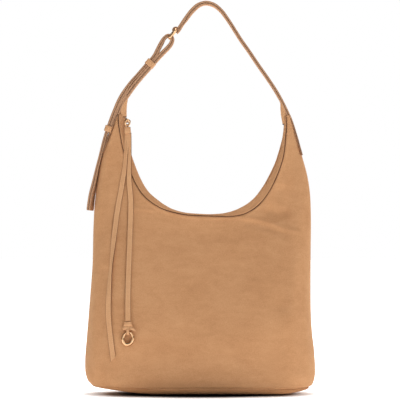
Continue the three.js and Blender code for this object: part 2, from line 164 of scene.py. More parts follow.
def unit(vectors):
    return vectors / np.maximum(np.linalg.norm(vectors, axis=-1, keepdims=True), 1e-9)


def full_turn(count):
    return np.linspace(0, 2 * np.pi, count, endpoint=False)


def bump(value, centre, wide):
    """A smooth hump, 1 at its centre."""
    return np.exp(-(((value - centre) / wide) ** 2))


def columns(*parts):
    """Values side by side: the coordinates of points or the corners of faces."""
    return np.stack(np.broadcast_arrays(*parts), axis=-1)


def along_ring(ring):
    """Unit vectors along a closed line."""
    return unit(np.roll(ring, -1, axis=0) - np.roll(ring, 1, axis=0))


def mirrored(half):
    """A closed section: half of it, and the same half turned over."""
    half = np.array(half)
    return np.vstack([half, half[::-1] * (1, -1)])


def in_plan(points):
    """Points (x, z) as (x, 0, z)."""
    points = np.asarray(points, float)
    return columns(points[..., 0], 0, points[..., 1])


def arc(centre, radius, start, end, count):
    """An arc (x, z) between two angles in degrees."""
    turn = np.radians(np.linspace(start, end, count))
    return columns(centre[0] + radius * np.cos(turn), centre[2] + radius * np.sin(turn))


def leaning(angle):
    """A rotation about Y, in radians."""
    return np.array(
        [[math.cos(angle), 0, math.sin(angle)], [0, 1, 0], [-math.sin(angle), 0, math.cos(angle)]]
    )


def axes(line, closed=False):
    """Unit vectors along a line, to its side, and upwards from both."""
    along = along_ring(line) if closed else unit(np.gradient(line, axis=0))
    side = unit(np.cross(along, (0, 1.0, 0)))
    return along, side, unit(np.cross(side, along))


# ---- collected meshes
def quads(here, ahead):
    """Faces between rings of point numbers and the rings ahead of them."""
    faces = columns(here, np.roll(here, -1, axis=1), np.roll(ahead, -1, axis=1), ahead)
    return faces.reshape(-1, 4)


class Shape:
    """Points, faces and material numbers of one object, in millimetres."""

    def __init__(self):
        self.points, self.faces, self.slots, self.total = [], [], [], 0

    def add(self, points, faces, slot=0):
        points = np.asarray(points, float).reshape(-1, 3)
        faces = np.asarray(faces, int)
        self.points.append(points)
        self.faces.append(faces + self.total)
        self.slots.append(np.broadcast_to(np.asarray(slot), len(faces)))
        self.total += len(points)

    def loft(self, sections, slots=0, closed=False):
        """A tube through rings of points (rows, corners, 3). slots gives a material per corner.

        A ring goes along one side and back along the other, so its caps are strips of quads.
        """
        sections = np.asarray(sections, float)
        rows, corners = sections.shape[:2]
        index = np.arange(rows * corners).reshape(rows, corners)
        if closed:
            index = np.vstack([index, index[:1]])
        here, ahead = index[:-1], index[1:]
        slots = np.broadcast_to(np.asarray(slots), corners)
        numbers = np.broadcast_to(slots, (len(here), corners)).reshape(-1)
        self.add(sections, quads(here, ahead), numbers)
        if not closed:
            j = np.arange(corners // 2 - 1)
            k = corners - 1 - j
            first = columns(j, k, k - 1, j + 1)
            last = columns(j, j + 1, k - 1, k) + (rows - 1) * corners
            offset = self.total - rows * corners
            self.faces.append(np.vstack([first, last]) + offset)
            self.slots.append(np.full(2 * len(j), slots[0]))

    def tube(self, line, radius, sides=10, slot=0, closed=False):
        line = np.asarray(line, float)
        radius = np.broadcast_to(np.asarray(radius, float), len(line))[:, None, None]
        along, side, up = axes(line, closed=closed)
        turn = full_turn(sides)[None, :, None]
        ring = np.cos(turn) * side[:, None] + np.sin(turn) * up[:, None]
        self.loft(line[:, None] + radius * ring, slot, closed=closed)

    def stitches(self, line, across, up, pitch, long, thick, slot):
        """A row of thread stitches along a line; across and up are unit vectors at its points."""
        count = max(2, int(length(line) / pitch))
        data = resample(np.hstack([line, across, up]), count + 1)
        run = resample(line, count + 1)
        middle = (run[:-1] + run[1:]) / 2
        along = unit(run[1:] - run[:-1])
        side, top = unit(data[:count, 3:6]), unit(data[:count, 6:9])
        profile = [(-0.5, 0.35), (-0.36, 0.9), (0, 1.0), (0.36, 0.9), (0.5, 0.35)]
        corners = 6
        rings = []
        for place, wide in profile:
            centre = middle + place * long * along - (1 - wide) * 0.3 * thick * top
            for angle in full_turn(corners):
                offset = math.cos(angle) * side + math.sin(angle) * top
                rings.append(centre + wide * thick / 2 * offset)
        base = np.arange(len(rings)).reshape(-1, corners)
        every = quads(base[:-1], base[1:])[None] + (np.arange(count) * len(rings))[:, None, None]
        self.add(np.stack(rings, axis=1), every.reshape(-1, 4), slot)

    def build(self, name, materials, smooth=True):
        mesh = bpy.data.meshes.new(name)
        faces = np.vstack(self.faces)
        mesh.from_pydata((np.vstack(self.points) * MM).tolist(), [], faces.tolist())
        for made in materials:
            mesh.materials.append(made)
        mesh.polygons.foreach_set("material_index", np.concatenate(self.slots).astype(np.int32))
        mesh.polygons.foreach_set("use_smooth", np.full(len(faces), smooth))
        mesh.validate()
        mesh.update()
        turn_faces_out(mesh)
        return put_in_scene(name, mesh)


def turn_faces_out(mesh):
    work = bmesh.new()
    work.from_mesh(mesh)
    bmesh.ops.recalc_face_normals(work, faces=work.faces)
    work.to_mesh(mesh)
    work.free()


# ---- shape of the body
left_line = spline(LEFT_SEAM, 400)
right_line = spline(RIGHT_SEAM, 400)


def polar(points):
    away = np.asarray(points, float) - np.array(MOUTH)
    angle = np.degrees(np.arctan2(away[:, 1], away[:, 0]))
    angle = np.where(angle < 90, angle + 360, angle)
    return angle, np.hypot(away[:, 0], away[:, 1])


ridge_angles, ridge_radii = polar(spline(RIDGE, 300))
ARC = (float(ridge_angles[0]), float(ridge_angles[-1]))
drop_curve = spline(SEAM_DROPS, 200)


def ridge_radius(angle):
    return np.interp(angle, ridge_angles, ridge_radii)


def seam_drop(angle):
    return np.interp(angle, drop_curve[:, 0], drop_curve[:, 1])


def around(angle, radius, y=0.0):
    """A point at an angle in degrees and a radius about the mouth's centre."""
    a = np.radians(angle)
    x = MOUTH[0] + radius * np.cos(a)
    z = MOUTH[1] + radius * np.sin(a)
    return columns(x, y, z)


def from_seams(x, z):
    """How far places lie inside the nearer side seam."""
    left = np.interp(z, left_line[:, 1], left_line[:, 0])
    right = np.interp(z, right_line[:, 1], right_line[:, 0])
    return np.minimum(x - left, right - x)


def half_depth(x, z):
    """Half the depth of the bag at a place seen from the front."""
    below = np.hypot(x - MOUTH[0], z - MOUTH[1]) - MOUTH_RADIUS
    belly = smoothstep(10, 195, below)
    tuck = np.maximum(0, (FOOT_HEIGHT - z) / FOOT_HEIGHT)
    full = MOUTH_HALF_DEPTH + (BASE_HALF_DEPTH - MOUTH_HALF_DEPTH) * belly - FOOT_TUCK * tuck**2
    rounding = 3 + 45 * smoothstep(0, 260, 405 - z)
    part = 1 - np.minimum(1, np.maximum(0, from_seams(x, z)) / rounding)
    return full * np.sqrt(1 - part**2) + 0.15


HORN = 0.015  # share of the top edge that each horn takes


def top_edge(u):
    """The wall's top edge (x, z): over a horn, round the mouth and over the other horn."""
    share = np.clip((u - HORN) / (1 - 2 * HORN), 0, 1)
    angle = ARC[0] + share * (ARC[1] - ARC[0])
    arc = around(angle, ridge_radius(angle) + seam_drop(angle))[..., [0, 2]]
    left, right = left_line[-1], right_line[-1]
    low = np.clip(u / HORN, 0, 1)[..., None]
    high = np.clip((1 - u) / HORN, 0, 1)[..., None]
    return np.where(u[..., None] < HORN, left + low * (arc - left), right + high * (arc - right))


def lift(x):
    """How far the ends of the soft base curl up off the ground."""
    return 8.6 * smoothstep(-60, -165, x) + 4.8 * smoothstep(115, 170, x)


def sole_height(x, z):
    """The base's own heights: thinner and curled up towards its ends."""
    ends = smoothstep(-110, -157, x) + smoothstep(120, 159, x)
    return z * (1 - 0.5 * ends) + lift(x)


def front_grid(u, v):
    """Places (x, z) of the front wall: a patch between the foot, the side seams and the mouth."""
    u, v = np.broadcast_arrays(u, v)
    shares = np.linspace(0, 1, 400)
    left = columns(*(np.interp(v, shares, left_line[:, k]) for k in (0, 1)))
    right = columns(*(np.interp(v, shares, right_line[:, k]) for k in (0, 1)))
    u, v = u[..., None], v[..., None]
    straight = left_line[0] + u * (right_line[0] - left_line[0])
    foot = columns(straight[..., 0], sole_height(straight[..., 0], SOLE_TOP))
    across = left + u * (right - left)
    upward = foot + v * (top_edge(u[..., 0]) - foot)
    flat = straight + v * (left_line[-1] + u * (right_line[-1] - left_line[-1]) - straight)
    return across + upward - flat


def distance_to(points, x, z):
    """Distance from places to a polyline [(x, z), ...]."""
    best = np.full(np.shape(x), 1e9)
    for (x0, z0), (x1, z1) in zip(points[:-1], points[1:]):
        dx, dz = x1 - x0, z1 - z0
        t = np.clip(((x - x0) * dx + (z - z0) * dz) / (dx * dx + dz * dz), 0, 1)
        best = np.minimum(best, np.hypot(x - x0 - t * dx, z - z0 - t * dz))
    return best


# Creases of the walls: line, half width and height, hollow where the height is below zero.
FRONT_CREASES = [
    # The first one makes room for the laces at the end of the zip.
    ([(120, 292), (124.5, 264), (125, 238), (123, 190), (121.5, 130)], 10, -3.2),
    ([(104, 264), (112, 260), (121, 262)], 8, -3.2),
    ([(62, 255), (85, 251.5), (106, 245.8), (120, 240), (143, 234)], 3.6, 1.5),
    ([(70, 246), (96, 240), (124, 231)], 5, -1.3),
    ([(-96, 266.5), (-82, 266.5), (-68, 265)], 2.4, 0.9),
    ([(-139, 178), (-141.5, 120), (-141, 70), (-136, 24)], 6, -2.2),
    ([(-152, 170), (-154, 100), (-150, 40)], 5, 1.0),
    ([(-131, 330), (-138, 285), (-141, 230)], 6, -1.2),
    ([(146, 180), (148, 110), (144, 40)], 7, -1.3),
    ([(120, 330), (131, 300), (136, 268)], 7, -1.2),
    ([(-60, 214), (0, 208), (60, 214)], 16, 0.8),
    ([(-90, 28), (0, 22), (92, 28)], 10, 0.7),
]
BACK_CREASES = [
    ([(-116, 258), (-98, 250), (-70, 246)], 5, 1.4),
    ([(-112, 246), (-84, 239)], 5, -1.5),
    ([(104, 262), (124, 248), (141, 238)], 5, -1.7),
    ([(134, 180), (137, 110), (133, 30)], 8, -2.0),
    ([(-136, 190), (-138, 110), (-132, 30)], 7, -1.6),
    ([(-70, 205), (0, 200), (70, 207)], 16, 0.8),
    ([(-40, 120), (10, 112), (70, 118)], 14, 0.7),
]


def undulation(x, z, seed):
    """Soft, slack leather: a few long waves."""
    rng = np.random.default_rng(seed)
    total = 0 * x
    for _ in range(9):
        wave = rng.uniform(55, 150)
        turn = rng.uniform(0, math.pi)
        phase = rng.uniform(0, 2 * math.pi)
        ahead = x * math.cos(turn) + z * math.sin(turn)
        total = total + np.sin(2 * math.pi * ahead / wave + phase) * (wave / 110)
    return total * 0.2


def relief(x, z, creases, seed):
    """How far the wall stands out: waves, creases, the mouth's seam and the roll at the foot."""
    total = undulation(x, z, seed)
    for line, wide, high in creases:
        total = total + high * np.exp(-((distance_to(line, x, z) / wide) ** 2))
    angle, radius = polar(columns(x.ravel(), z.ravel()))
    below = radius.reshape(x.shape) - ridge_radius(angle).reshape(x.shape)
    below = below - seam_drop(angle).reshape(x.shape)
    seam = 0.5 * bump(below, 3.2, 1.8) - 1.1 * bump(below, 0, 0.9)
    calm = smoothstep(0, 14, from_seams(x, z)) * smoothstep(0, 14, z - SOLE_TOP) * smoothstep(0, 8, below)
    rolled = 0.8 * bump(z, 11.2, 2.2) - 0.9 * bump(z, 8.3, 0.9)
    return total * calm + seam + rolled


def wall_points(side, u, v, creases, seed, depth=0.0):
    """A face of the wall in space; both walls meet at y = 0 in a shallow groove."""
    place = front_grid(u, v)
    x, z = place[..., 0], place[..., 1]
    points = columns(x, -half_depth(x, z), z)
    across = np.gradient(points, axis=1)
    up = np.gradient(points, axis=0)
    outward = unit(np.cross(across, up))
    raised = relief(x, z, creases, seed) - depth
    points = points + outward * raised[..., None]
    points[..., 1] = np.minimum(points[..., 1], -0.12)
    groove = bump(points[..., 1], 0, 1.0) * smoothstep(352, 336, z)
    points[..., 0] -= 0.7 * groove * np.sign(x)
    points[:, (0, -1), 1] = 0
    if side > 0:
        points[..., 1] *= -1
    return points


def eased(count, strength):
    """Shares from 0 to 1, closer together at both ends."""
    t = np.linspace(0, 1, count)
    return (1 - strength) * t + strength * (0.5 - 0.5 * np.cos(np.pi * t))


# ---- materials
class Paint:
    """A procedural material on one Principled shader; sizes are in millimetres."""

    def __init__(self, name, **settings):
        self.material = bpy.data.materials.new(name)
        self.material.use_nodes = True
        self.tree = self.material.node_tree
        self.shader = self.tree.nodes["Principled BSDF"]
        self.place = self.node("ShaderNodeTexCoord").outputs["Object"]
        for key, value in settings.items():
            self.shader.inputs[key.replace("_", " ")].default_value = value

    def node(self, kind, inputs=None, **settings):
        made = self.tree.nodes.new(kind)
        for key, value in settings.items():
            setattr(made, key, value)
        for key, value in (inputs or {}).items():
            if isinstance(value, bpy.types.NodeSocket):
                self.tree.links.new(value, made.inputs[key])
            else:
                made.inputs[key].default_value = value
        return made

    def noise(self, size, detail=3.0, roughness=0.55, stretch=(1, 1, 1), distortion=0.0):
        scale = [factor / (size * MM) for factor in stretch]
        mapped = self.node("ShaderNodeMapping", {"Vector": self.place, "Scale": scale})
        settings = {"Scale": 1.0, "Detail": detail, "Roughness": roughness, "Distortion": distortion}
        made = self.node("ShaderNodeTexNoise", {"Vector": mapped.outputs["Vector"], **settings})
        return made.outputs["Fac"]

    def math(self, kind, a, b=0.0, c=0.0):
        return self.node("ShaderNodeMath", {0: a, 1: b, 2: c}, operation=kind).outputs["Value"]

    def blend(self, layers, level=0.5):
        """level plus each (socket - 0.5) times its weight."""
        total = level
        for socket, weight in layers:
            total = self.math("MULTIPLY_ADD", self.math("SUBTRACT", socket, 0.5), weight, total)
        return total

    def ramp(self, fac, stops):
        made = self.node("ShaderNodeValToRGB", {"Fac": fac})
        band = made.color_ramp
        while len(band.elements) < len(stops):
            band.elements.new(0.5)
        for element, (place, colour) in zip(band.elements, stops):
            element.position = place
            element.color = colour
        return made.outputs["Color"]

    def link(self, socket, name):
        self.tree.links.new(socket, self.shader.inputs[name])

    def bump(self, height, distance, strength=1.0):
        inputs = {"Height": height, "Distance": distance * MM, "Strength": strength}
        made = self.node("ShaderNodeBump", inputs)
        self.link(made.outputs["Normal"], "Normal")

    def shades(self, fac, dark, middle, light):
        """Colours the surface between three sRGB shades."""
        stops = [(0.15, srgb(*dark)), (0.5, srgb(*middle)), (0.85, srgb(*light))]
        self.link(self.ramp(fac, stops), "Base Color")


def srgb(red, green, blue):
    """Linear colour of an sRGB one in 0..255."""
    linear = []
    for value in (red, green, blue):
        share = value / 255
        linear.append(share / 12.92 if share <= 0.04045 else ((share + 0.055) / 1.055) ** 2.4)
    return (*linear, 1.0)


def suede_paint(name, dark, middle, light, patch=1.0):
    paint = Paint(
        name, Roughness=0.96, Specular_IOR_Level=0.12, Sheen_Weight=0.22, Sheen_Roughness=0.45,
        Sheen_Tint=srgb(255, 214, 170),
    )
    cloudy = paint.noise(55, 3, 0.6)
    brushed = paint.noise(13, 4, 0.62, stretch=(0.55, 1, 1.15), distortion=0.6)
    streaks = paint.noise(7, 3, 0.5, stretch=(0.16, 1, 1.0))
    nap = paint.noise(1.3, 3, 0.7)
    fibre = paint.noise(0.45, 2, 0.6)
    fac = paint.blend(
        [(cloudy, 0.3 * patch), (brushed, 0.36 * patch), (streaks, 0.08 * patch), (nap, 0.6)]
    )
    paint.shades(fac, dark, middle, light)
    height = paint.blend([(brushed, 0.8), (nap, 0.9), (fibre, 0.6)])
    paint.bump(height, 0.3, 0.8)
    return paint.material


def leather_paint(name, dark, middle, light, rough=0.62):
    paint = Paint(name, Specular_IOR_Level=0.3, Sheen_Weight=0.06)
    grain = paint.noise(1.1, 4, 0.6)
    worn = paint.noise(9, 3, 0.6)
    paint.shades(paint.blend([(grain, 0.6), (worn, 0.6)]), dark, middle, light)
    paint.link(paint.blend([(worn, 0.25), (grain, 0.15)], rough), "Roughness")
    paint.bump(grain, 0.15, 0.7)
    return paint.material


def gold_paint(name):
    paint = Paint(name, Metallic=1.0, Specular_IOR_Level=0.5)
    tarnish = paint.noise(5, 3, 0.6)
    scratches = paint.noise(0.9, 2, 0.5, stretch=(1, 1, 0.12))
    paint.shades(tarnish, (200, 156, 112), (214, 172, 130), (230, 194, 154))
    paint.link(paint.blend([(tarnish, 0.06), (scratches, 0.1)], 0.17), "Roughness")
    paint.bump(scratches, 0.015, 0.4)
    return paint.material


def woven_paint(name, thread_width, dark, middle, light):
    """Plain weave: threads cross in two directions."""
    paint = Paint(name, Roughness=0.9, Specular_IOR_Level=0.15, Sheen_Weight=0.15)
    scale = 1 / (thread_width * MM) / 6.3
    inputs = {"Vector": paint.place, "Scale": scale, "Distortion": 0.8, "Detail": 1.0}
    warp, weft = (
        paint.node("ShaderNodeTexWave", inputs, bands_direction=way).outputs["Fac"] for way in "XZ"
    )
    slub = paint.noise(6, 3, 0.6)
    weave = paint.math("MULTIPLY", warp, weft)
    fac = paint.blend([(weave, 0.5), (slub, 0.6)])
    paint.shades(fac, dark, middle, light)
    paint.bump(weave, 0.15, 0.8)
    return paint.material


def board_paint(name):
    paint = Paint(name, Roughness=0.92, Specular_IOR_Level=0.2)
    pulp = paint.noise(3, 5, 0.7)
    fleck = paint.noise(0.8, 2, 0.6, stretch=(0.3, 1, 1))
    fac = paint.blend([(pulp, 0.7), (fleck, 0.5)])
    paint.shades(fac, (112, 104, 92), (138, 128, 115), (160, 150, 136))
    paint.bump(pulp, 0.2, 0.6)
    return paint.material


suede = suede_paint("suede", (168, 118, 78), (194, 144, 102), (212, 164, 121))
suede_flat = suede_paint("suede_strap", (158, 108, 70), (186, 134, 92), (206, 156, 112), 0.7)
# The facing's suede is a slightly darker copy of the wall's: painted shade on the facing round the mouth.
shaded_facing_suede = suede_paint("suede_facing_shaded", (166, 116, 79), (190, 141, 101), (208, 161, 119), 0.7)
edge_paint = leather_paint("painted_edge", (160, 118, 87), (174, 132, 100), (186, 145, 112))
lace_suede = suede_paint("suede_lace", (180, 130, 90), (205, 156, 114), (220, 174, 132), 0.6)
# The laces' edges are dark: their edge paint, made darker as painted shade along their sides.
lace_edge_paint_and_shade = leather_paint("lace_edge_paint_and_shade", (96, 62, 38), (122, 82, 52), (142, 100, 66), 0.8)
trim_leather = leather_paint("trim_leather", (176, 126, 84), (201, 151, 107), (216, 168, 124))
# seam_shade is painted shade: the dark finish of lines laid in grooves and seams where shade falls.
seam_shade = leather_paint("seam_shade", (52, 30, 18), (70, 42, 26), (88, 56, 36), 0.85)
gold = gold_paint("gold_plate")
thread = leather_paint("thread", (196, 152, 110), (214, 172, 130), (228, 188, 146), 0.7)
dark_thread = leather_paint("dark_thread", (150, 106, 70), (174, 128, 90), (190, 146, 106), 0.75)
lining_cotton = woven_paint("lining_cotton", 0.8, (150, 122, 92), (176, 148, 116), (196, 170, 138))
zip_cloth = woven_paint("zip_cloth", 0.6, (124, 88, 56), (146, 106, 70), (166, 126, 88))
fibre_board = board_paint("fibre_board")


def place(obj, body, slot, *nodes):
    """Gives a piece its moving body and hides the CAD nodes that it stands for; slot is not used."""
    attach(obj, body)
    if nodes:
        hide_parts(*nodes)
    return obj


# ---- laces of the zip pull
END_PIN = np.array([-103.0, -61.4, 91.2])
SWING_AXIS = np.array([-104.86, -14.2, 387.888])
# Each lace hangs through (x, z) with its clearance from the wall, as (x, z, clearance).
LONG_LACE = [
    (-105.2, 377.4, 2.6), (-106.4, 354, 2.9), (-109, 325, 2.7), (-113.8, 296, 2.2),
    (-118.9, 267, 2.2), (-122.5, 238, 2.6), (-126, 202, 2.8), (-129, 166, 3), (-131, 137, 3),
    (-131, 111, 3), (-128.6, 86, 2.8), (-123.9, 48, 2.6),
]
SHORT_LACE = [
    (-103, 377.4, 4.9), (-102.3, 345, 5.6), (-102.3, 312, 5), (-100, 278, 3.6), (-100.4, 250, 2.8),
    (-101.4, 215, 2.8), (-102.6, 175, 2.8), (-103.2, 135, 3.4), (-103, 105.5, 5.2),
]
# Height, half length and degrees of each twist.
LONG_TWISTS = [(182, 40, 58), (345, 40, 40)]
SHORT_TWISTS = [(340, 40, 36)]


def lace(name, stops, count, slant, twists):
    """A flat lace with dark edges, edge paint with painted shade, and two rows of stitches; slant is how
    much its end is cut off.
    """
    line = spline([(x, -float(half_depth(x, z)) - clear, z) for x, z, clear in stops], count)
    along = unit(np.gradient(line, axis=0))
    out = unit(np.array([0, -1.0, 0]) + along * along[:, 1:2])
    across = unit(np.cross(out, along))
    across *= np.sign(across[:, :1])
    for height, half, degrees in twists:
        turn = np.radians(degrees) * bump(line[:, 2:], height, half)
        across, out = (
            np.cos(turn) * across + np.sin(turn) * out,
            np.cos(turn) * out - np.sin(turn) * across,
        )
    w, t = LACE_WIDTH / 2, LACE_THICK / 2
    edge = [(w, 0.15), (w, t - 0.3), (w - 0.35, t), (w - 1.6, t + 0.05)]
    front = [(-a, b) for a, b in edge] + [(0, t - 0.1)] + edge[::-1]
    ring = mirrored(front)
    run = np.linspace(0, 1, count)
    near_end = smoothstep(1 - 14 / length(line), 1, run)[:, None]
    back_off = slant * near_end * (ring[:, 0] / w + 1) / 2
    sections = (
        line[:, None] + ring[None, :, :1] * across[:, None] + ring[None, :, 1:] * out[:, None]
        - back_off[..., None] * along[:, None]
    )
    shape = Shape()
    shape.loft(sections, [1, 1, 0, 0, 0, 0, 1, 1, 1] * 2)
    sewn = slice(2, int(count * (1 - 16 / length(line))))
    for side in (-1, 1):
        row = line + side * (w - 1.5) * across + (t + 0.04) * out
        shape.stitches(row[sewn], across[sewn], out[sewn], pitch=3.0, long=1.9, thick=0.5, slot=2)
    return shape.build(name, [lace_suede, lace_edge_paint_and_shade, thread]), line


def rounded_ring(half_x, half_y, bulge=3.0, count=36):
    """A superellipse in plan as (count, 2), front half first and then the back half reversed."""
    t = np.linspace(np.pi, 0, count // 2)
    x = half_x * np.sign(np.cos(t)) * np.abs(np.cos(t)) ** (2 / bulge)
    y = -half_y * np.abs(np.sin(t)) ** (2 / bulge) - 0.02
    front = columns(x, y)
    return mirrored(front)


def sleeve(shape, centre, rows):
    """A sleeve of leather along Z with rounded corners: rows are (z, half width, half depth)."""
    rings = []
    for z, half_x, half_y in rows:
        x, y = rounded_ring(half_x, half_y).T
        rings.append(columns(x, y, z) + centre)
    shape.loft(rings)


def leather_tail(shape, stops, half_from, half_to, slot=0):
    """A narrow free end of leather along the stops."""
    tail = spline(stops, 10)
    half = np.linspace(half_from, half_to, len(tail))[:, None]
    _, side, up = axes(tail)
    front = [(-1, 0.02), (-0.8, 0.5), (0.8, 0.5), (1, 0.02)]
    ring = mirrored(front)
    shape.loft(np.stack([tail + a * half * side + b * up for a, b in ring], axis=1), slot)


def loop_round(shape, centre, radius, width, thick):
    """A leather loop round an axis along X."""
    turn = full_turn(28)
    spoke = columns(0, np.cos(turn), np.sin(turn))
    w = width / 2
    ring = [(-w, 0.0), (-w + 0.3, thick), (w - 0.3, thick), (w, 0.0)]
    sections = np.stack(
        [centre + (radius + off) * spoke + np.array([x, 0, 0]) for x, off in ring], axis=1
    )
    shape.loft(sections, closed=True)


def pull_ring():
    """The slider's pin and the small oval ring fixed to its front end."""
    pin = SWING_AXIS + (1.9, 0, 6.5)
    turn = full_turn(40)
    oval = columns(3.1 * np.cos(turn), 0, 4.3 * np.sin(turn) + 4.3)
    shape = Shape()
    shape.tube(oval + SWING_AXIS, 1.35, sides=16, closed=True)
    shape.tube([pin + (0, y, 0) for y in (17.4, 8, 0)], 0.8, sides=14)
    shape.tube([pin + (0, y, 0) for y in (17.6, 16.7, 15.8)], 1.6, sides=16)
    return place(shape.build("pull_ring_gold", [gold]), "pull_link", "gold_metal", "zip_pull_ring")


def collar():
    """Leather wrapped round the tops of both laces, tied off with a pointed tail."""
    z = SWING_AXIS[2] - 6.9
    shape = Shape()
    sleeve(shape, (-104.6, -15.8, z), [
        (-4.4, 4.0, 2.2), (-4, 4.6, 2.7), (-2, 4.8, 2.9), (0, 4.6, 2.8), (2, 4.5, 2.9),
        (4.6, 4.1, 2.6), (5.4, 3.4, 2.1),
    ])
    loop_round(shape, SWING_AXIS, 1.5, 2.6, 0.9)
    stops = [(-102.6, -17.6, z - 2.6), (-100.9, -18, z - 4.6), (-99.2, -17.6, z - 6.6)]
    leather_tail(shape, stops, 1.5, 0.3, slot=1)
    made = shape.build("collar_wrap", [trim_leather, edge_paint])
    return place(made, "pull", "edged_leather", "pull_collar")


def end_wrap():
    """Leather folded round the foot of the short lace, with a loop for the end ring."""
    shape = Shape()
    sleeve(shape, END_PIN, [
        (2.6, 7.2, 2.4), (3.0, 7.8, 2.9), (7.0, 6.8, 2.8), (7.3, 6.1, 2.1), (7.5, 6.1, 2.1),
        (7.8, 6.6, 2.7), (13.2, 5.2, 2.4), (13.7, 4.6, 1.8),
    ])
    loop_round(shape, END_PIN, 4.1, 4.4, 1.2)
    leather_tail(shape, END_PIN + [(3, -3, 5.4), (6.8, -3.6, 3.6), (11, -3.8, 1.2)], 2.2, 1.4)
    return place(shape.build("end_wrap", [trim_leather]), "pull", "edged_leather", "pull_end_wrap")


def end_ring():
    """A heavy oval ring that hangs a little askew, thicker towards its foot."""
    turn = full_turn(56)
    flat = columns(7.0 * np.cos(turn), 0, 8.9 * np.sin(turn))
    line = flat @ leaning(math.radians(12)).T + END_PIN - (0, 0, 9.6)
    shape = Shape()
    shape.tube(line, 2.4 + 0.6 * np.cos(turn + 1.4), sides=20, closed=True)
    return place(shape.build("end_ring_gold", [gold]), "end_ring", "gold_metal", "pull_end_ring")


def cords():
    wrapped = end_wrap()
    ring = end_ring()
    pull_ring()
    gathered = collar()
    laces = [
        ("long", LONG_LACE, 150, 6.0, LONG_TWISTS, "bare", [gathered]),
        ("short", SHORT_LACE, 130, 0.0, SHORT_TWISTS, "fitting", [wrapped, ring]),
    ]
    for name, stops, count, slant, twists, far_end, with_pieces in laces:
        made, line = lace(f"lace_{name}", stops, count, slant, twists)
        place(made, "pull", "suede", f"pull_lace_{name}")


cords()


# ---- body
def walls():
    tips = np.array([0, 0.02, 0.07, 0.18, 0.4, 0.7]) * HORN
    u = np.concatenate([tips, HORN + (1 - 2 * HORN) * eased(236, 0.5), 1 - tips[::-1]])
    grid = np.meshgrid(u, eased(176, 0.35))
    cloth = np.meshgrid(u[::3], eased(80, 0.35) * 0.955)
    for (side, name), (creases, seed) in zip(SIDES, ((FRONT_CREASES, 4), (BACK_CREASES, 9))):
        layers = [
            (grid, (0, LEATHER), f"body_{name}", suede, "suede", f"{name}_panel"),
            (cloth, LINING_DEPTHS, f"lining_cloth_{name}", lining_cotton, "lining", f"lining_{name}"),
        ]
        for places, depths, piece, finish, slot, node in layers:
            outer, inner = (wall_points(side, *places, creases, seed, depth) for depth in depths)
            shape = Shape()
            shape.loft(np.concatenate([outer, inner[:, ::-1]], axis=1))
            place(shape.build(piece, [finish]), "bag", slot, node)


def foot_ring(margin, z, us):
    """A ring round the base, a margin inside the foot of the walls."""
    x, foot = front_grid(us, 0 * us).T
    front = columns(x, -half_depth(x, foot))
    ring = mirrored(front)
    along = along_ring(ring)
    inward = columns(-along[:, 1], along[:, 0])
    plan = ring + inward * margin
    return np.column_stack([plan, sole_height(plan[:, 0], z)])


# The base with its turned-up rim, and the plates inside it, with the (margin, z) of their edges.
BASE_PARTS = [
    ("base_rim", suede_flat, "suede", "base_panel", [
        (8, 2.1), (3.2, 6.4), (2.2, 7.1), (1.0, 7.4), (0.0, 7.2), (-0.5, 6.4), (-0.4, 5.2),
        (0.2, 3.6), (1.2, 2.2), (2.8, 1.0), (5, 0.3), (8.6, 0.0), (13, 0.0), (22, 0.0),
    ]),
    ("base_board_plate", fibre_board, "stiffener", "base_board", [(9, 2.3), (8.4, 4.8)]),
    ("lining_base_plate", lining_cotton, "lining", "lining_base", [(8.2, 5.1), (8, 5.9)]),
]


def base():
    us = eased(130, 0.7)
    for piece, finish, slot, node, profile in BASE_PARTS:
        shape = Shape()
        shape.loft([foot_ring(margin, z, us) for margin, z in profile])
        place(shape.build(piece, [finish]), "bag", slot, node)


def facing(side, name):
    """The band between the panel's seam and the zip, rolled over at the ridge."""
    angles = np.linspace(ARC[0] + 0.4, ARC[1] - 0.4, 340)
    shift = 0.8 + 1.8 * smoothstep(222, 262, angles)
    if side < 0:
        shift += 2.2 * smoothstep(308, 322, angles) * smoothstep(360, 346, angles)
    drop = seam_drop(angles) - shift
    ridge = ridge_radius(angles) + shift
    seam = around(angles, ridge + drop)
    deep = half_depth(seam[:, 0], seam[:, 2])
    run = travelled(seam)
    count = 24
    band = bump(np.arange(count), 8, 5.0)
    sections = []
    for i, angle in enumerate(angles):
        d, y = drop[i], deep[i]
        stops = [
            (d - 0.1, y - 0.9), (d - 0.55, y + 0.15), (0.66 * d, 0.5 * y + 4.5), (0.33 * d, 0.25 * y + 6.1),
            (0.4, 7.1), (0, 6.3), (0.4, 5.5), (1.6, 5.1), (4.2, 5.2), (6.5, 5.5),
        ]
        line = spline(stops, count)
        out = unit(np.gradient(line, axis=0))[:, ::-1] * (-1, 1)
        ripple = 0.16 * math.sin(2 * math.pi * run[i] / 3.1) + 0.25 * math.sin(run[i] / 9.0)
        line = line + out * (band * ripple)[:, None]
        ring = np.vstack([line, (line - FACING_THICK * out)[::-1]])
        points = around(angle, ridge[i] + ring[:, 0])
        points[:, 1] = side * ring[:, 1]
        sections.append(points)
    sections = np.array(sections)
    shape = Shape()
    shape.loft(sections)
    sewn = 5  # the point of the section that carries the stitches
    row = sections[:, sewn]
    up = unit(row - sections[:, 2 * count - 1 - sewn])
    across = unit(np.cross(np.gradient(row, axis=0), up))
    shape.stitches(row + 0.05 * up, across, up, pitch=3.1, long=2.0, thick=0.5, slot=1)
    made = shape.build(f"facing_{name}", [shaded_facing_suede, dark_thread])
    place(made, "bag", "suede", f"zip_facing_{name}")


def painted_seam_shade(side, name):
    """A dark tube along the groove where the wall meets the facing: painted shade of the seam."""
    angles = np.linspace(ARC[0] + 0.8, ARC[1] - 0.8, 420)
    line = around(angles, ridge_radius(angles) + seam_drop(angles) + 0.05)
    line[:, 1] = side * (half_depth(line[:, 0], line[:, 2]) + 0.4)
    shape = Shape()
    shape.tube(line, 0.75, sides=8)
    place(shape.build(f"mouth_seam_shade_{name}", [seam_shade]), "bag", "suede")


